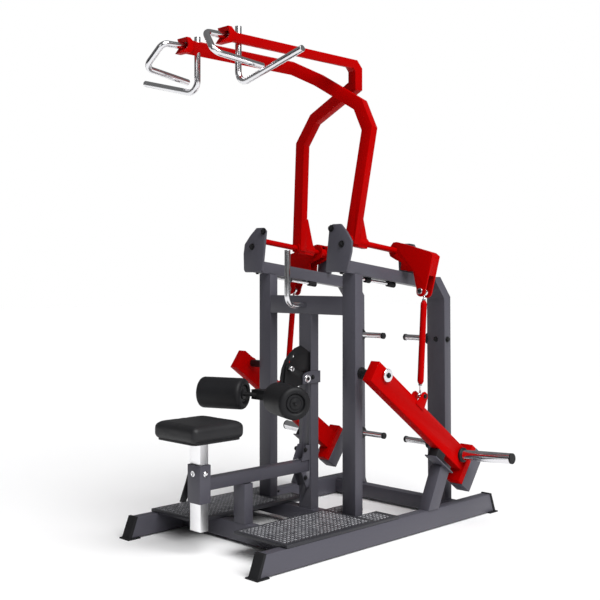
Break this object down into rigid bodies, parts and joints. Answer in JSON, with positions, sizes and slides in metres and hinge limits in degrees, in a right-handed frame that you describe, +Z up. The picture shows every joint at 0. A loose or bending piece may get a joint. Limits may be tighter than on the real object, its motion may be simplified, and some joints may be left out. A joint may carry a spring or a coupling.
{
  "type": "lat pulldown machine",
  "caption": "Plate-loaded lat pulldown machine with crossed pull arms, sloping weight levers, height-adjustable seat, thigh rollers and foot plates.",
  "frame": {"origin": "middle of the bounding box at floor level", "axes": "+Z up; the seat is at the front, -Y, and its user faces +Y; +X is on the user's right; a node's hand is the side its shaft, lever or foot stands on"},
  "size_m": [1.5156, 1.717, 2.267],
  "materials": {
    "red_paint": "bright red gloss powder coat",
    "charcoal_paint": "satin charcoal powder coat",
    "black_paint": "satin black",
    "chrome": "polished chrome plate",
    "black_rubber": "matte moulded rubber",
    "black_vinyl": "grained black vinyl",
    "tread_steel": "dark raised-pattern tread plate"
  },
  "bodies": {
    "frame": {"base_rail_right": "charcoal_paint", "base_rail_left": "charcoal_paint", "end_cap_front_right": "black_rubber", "end_cap_front_left": "black_rubber", "end_cap_rear_right": "black_rubber", "end_cap_rear_left": "black_rubber", "front_cross_beam": "charcoal_paint", "middle_cross_beam": "charcoal_paint", "rear_cross_beam": "charcoal_paint", "tread_plate_right": "tread_steel", "tread_plate_left": "tread_steel", "upright_right": "charcoal_paint", "upright_left": "charcoal_paint", "upright_centre": "charcoal_paint", "upper_cross_beam": "charcoal_paint", "rear_upright_right": "charcoal_paint", "rear_upright_left": "charcoal_paint", "centre_handle": "chrome", "storage_peg_upper_right": "chrome", "storage_peg_upper_left": "chrome", "storage_peg_lower_right": "chrome", "storage_peg_lower_left": "chrome", "shaft_plate_front_right": "charcoal_paint", "shaft_plate_front_left": "charcoal_paint", "top_beam_right": "charcoal_paint", "top_beam_left": "charcoal_paint", "bumper_pad_right": "black_rubber", "bumper_pad_left": "black_rubber", "bumper_post_right": "charcoal_paint", "bumper_post_left": "charcoal_paint", "lever_bearing_right": "black_paint", "lever_bearing_left": "black_paint", "seat_beam": "charcoal_paint", "seat_support_post": "charcoal_paint", "roller_bracket": "charcoal_paint"},
    "right_arm": {"shaft_right": "red_paint", "arm_right": "red_paint", "wide_grip_right": "chrome", "parallel_grip_right": "chrome", "crank_right": "red_paint"},
    "right_link": {"link_right": "red_paint"},
    "right_lever": {"weight_lever_right": "red_paint", "weight_horn_right": "chrome", "balance_block_right": "charcoal_paint"},
    "left_arm": {"shaft_left": "red_paint", "arm_left": "red_paint", "wide_grip_left": "chrome", "parallel_grip_left": "chrome", "crank_left": "red_paint"},
    "left_link": {"link_left": "red_paint"},
    "left_lever": {"weight_lever_left": "red_paint", "weight_horn_left": "chrome", "balance_block_left": "charcoal_paint"},
    "seat": {"seat_post": "chrome", "seat_pad": "black_vinyl"},
    "seat_release": {"seat_release_lever": "black_paint"},
    "yoke": {"roller_yoke": "black_paint"},
    "right_roller": {"roller_right": "black_rubber"},
    "left_roller": {"roller_left": "black_rubber"},
    "pop_pin": {"roller_pop_pin": "chrome"}
  },
  "joints": [
    {"name": "right_arm_pull", "type": "hinge", "parent": "frame", "child": "right_arm", "pos_m": [0.262, -0.1295, 1.374], "axis": [0, -0.9921, 0.1253], "range_deg": [0, 46]},
    {"name": "right_link_swing", "type": "hinge", "parent": "right_arm", "child": "right_link", "pos_m": [0.436, 0.29139, 1.12327], "axis": [0.1192, 0.9775, 0.174], "range_deg": [0, 60]},
    {"name": "right_lever_lift", "type": "hinge", "parent": "frame", "child": "right_lever", "pos_m": [0.444, -0.0255, 0.756], "axis": [1, 0, 0], "range_deg": [0, 37]},
    {"name": "left_arm_pull", "type": "hinge", "parent": "frame", "child": "left_arm", "pos_m": [-0.262, -0.1295, 1.374], "axis": [0, 0.9921, -0.1253], "range_deg": [0, 46]},
    {"name": "left_link_swing", "type": "hinge", "parent": "left_arm", "child": "left_link", "pos_m": [-0.436, 0.29139, 1.12327], "axis": [0.1192, -0.9775, -0.174], "range_deg": [0, 60]},
    {"name": "left_lever_lift", "type": "hinge", "parent": "frame", "child": "left_lever", "pos_m": [-0.444, -0.0255, 0.756], "axis": [1, 0, 0], "range_deg": [0, 37]},
    {"name": "seat_height", "type": "slide", "parent": "frame", "child": "seat", "axis": [0, 0, 1], "range_m": [-0.08, 0.08]},
    {"name": "seat_release_pull", "type": "hinge", "parent": "frame", "child": "seat_release", "pos_m": [-0.051, -0.7135, 0.352], "axis": [-1, 0, 0], "range_deg": [0, 20], "stiffness_Nm_per_rad": 0.4},
    {"name": "roller_tilt", "type": "hinge", "parent": "frame", "child": "yoke", "pos_m": [0, -0.0955, 0.715], "axis": [-1, 0, 0], "range_deg": [-15, 30]},
    {"name": "right_roller_spin", "type": "hinge", "parent": "yoke", "child": "right_roller", "pos_m": [0.107, -0.3525, 0.652], "axis": [0.9226, -0.3859, 0], "continuous": true},
    {"name": "left_roller_spin", "type": "hinge", "parent": "yoke", "child": "left_roller", "pos_m": [-0.107, -0.3525, 0.652], "axis": [-0.9226, -0.3859, 0], "continuous": true},
    {"name": "roller_pin_pull", "type": "slide", "parent": "yoke", "child": "pop_pin", "axis": [1, 0, 0], "range_m": [0, 0.009], "stiffness_N_per_m": 600}
  ],
  "couplings": [
    {"joint": "right_link_swing", "follows": "right_arm_pull", "ratio": 1.2957},
    {"joint": "right_lever_lift", "follows": "right_arm_pull", "ratio": 0.8016},
    {"joint": "left_link_swing", "follows": "left_arm_pull", "ratio": 1.2957},
    {"joint": "left_lever_lift", "follows": "left_arm_pull", "ratio": 0.8016}
  ]
}
